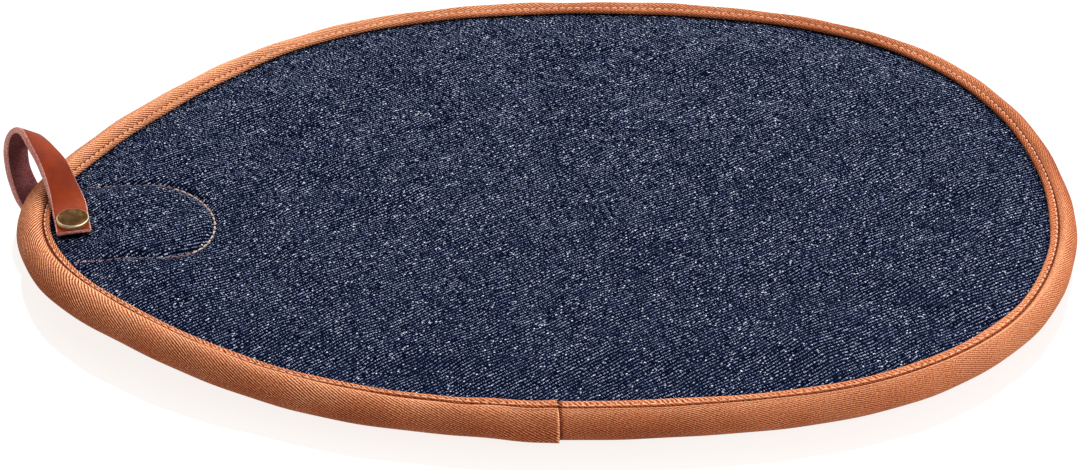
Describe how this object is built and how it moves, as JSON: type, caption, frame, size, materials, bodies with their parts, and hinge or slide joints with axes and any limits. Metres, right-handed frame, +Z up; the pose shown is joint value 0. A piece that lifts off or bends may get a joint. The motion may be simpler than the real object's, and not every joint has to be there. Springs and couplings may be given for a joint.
{
  "type": "oven mitt",
  "caption": "Egg-shaped quilted denim oven mitt with a taped edge, two pockets underneath, a fold across the middle and a snap-closed leather hanging loop.",
  "frame": {"origin": "on the resting plane, under the centre of the part's bounding box", "axes": "+X along the mitt from its narrow looped tip to its wide end, +Y across it, +Z up out of the denim face"},
  "size_m": [0.3632, 0.2596, 0.0323],
  "materials": {
    "denim": "matte cotton twill",
    "binding_tape": "matte cotton twill tape",
    "lining": "matte plain cotton",
    "wadding": "matte fibre batting",
    "thread": "satin sewing thread",
    "strap_leather": "waxed smooth grain",
    "antique_brass": "aged satin"
  },
  "bodies": {
    "finger_half": {"denim_face_wide": "denim", "wadding_wide": "wadding", "lining_wide": "lining", "finger_pocket_panel": "denim", "finger_pocket_mouth_tape": "binding_tape", "finger_mouth_stitch": "thread", "edge_binding_wide": "binding_tape", "binding_stitch_top_wide": "thread", "binding_stitch_under_wide": "thread"},
    "thumb_half": {"denim_face_narrow": "denim", "wadding_narrow": "wadding", "lining_narrow": "lining", "stay_patch": "lining", "thumb_pocket_panel": "denim", "thumb_pocket_mouth_tape": "binding_tape", "thumb_mouth_stitch": "thread", "edge_binding_narrow": "binding_tape", "binding_stitch_top_narrow": "thread", "binding_stitch_under_narrow": "thread", "u_seam_stitch": "thread", "strap_loop": "strap_leather", "snap_stud": "antique_brass", "snap_back_rivet": "antique_brass"},
    "snap_tab": {"strap_tab": "strap_leather", "snap_cap": "antique_brass", "snap_socket": "antique_brass"}
  },
  "joints": [
    {"name": "pad_fold", "type": "hinge", "parent": "finger_half", "child": "thumb_half", "pos_m": [-0.01341, 0, 0.0145], "axis": [0, 1, 0], "range_deg": [0, 140]},
    {"name": "snap_tab_lift", "type": "hinge", "parent": "thumb_half", "child": "snap_tab", "pos_m": [-0.15981, 0.0044, 0.01525], "axis": [-0.9983, -0.0576, 0], "range_deg": [0, 75]}
  ]
}
